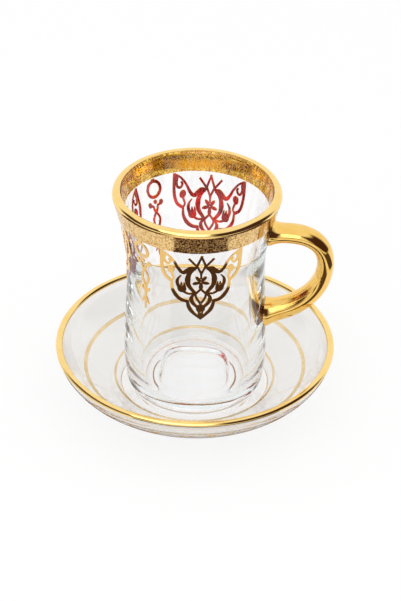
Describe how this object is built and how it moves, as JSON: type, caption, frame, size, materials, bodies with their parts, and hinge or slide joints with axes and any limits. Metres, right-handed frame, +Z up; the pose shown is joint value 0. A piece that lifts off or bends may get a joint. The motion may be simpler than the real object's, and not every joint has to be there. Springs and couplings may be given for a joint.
{
  "type": "tea glass with handle",
  "caption": "Clear tea glass with a gilded handle, a flared gold rim and gold ornament, standing on a matching glass saucer with a gold edge.",
  "frame": {"origin": "centre of the saucer's foot on the table, on the common axis of glass and saucer", "axes": "+Z up along the axis of the glass, +X towards the handle"},
  "size_m": [0.12, 0.12, 0.1006],
  "materials": {
    "clear_glass": "clear, polished",
    "gilded_glass": "glass under a fired coat of mirror gold",
    "gold": "fired mirror gold",
    "etched_gold": "fired gold with a fine etched pattern",
    "pale_gold": "thin fired gold line"
  },
  "bodies": {
    "saucer": {"saucer_dish": "clear_glass", "saucer_rim_gold": "gold", "saucer_outer_line": "pale_gold", "saucer_inner_line": "pale_gold"},
    "glass": {"glass_body": "clear_glass", "handle": "gilded_glass", "rim_lip_gold": "gold", "rim_band_gold": "etched_gold", "medallion_front": "gold", "medallion_left": "gold", "medallion_back": "gold", "pendant_front": "gold", "pendant_back": "gold"}
  },
  "joints": [
    {"name": "glass_lift", "type": "slide", "parent": "saucer", "child": "glass", "axis": [0, 0, 1], "range_m": [0, 0.08]}
  ]
}
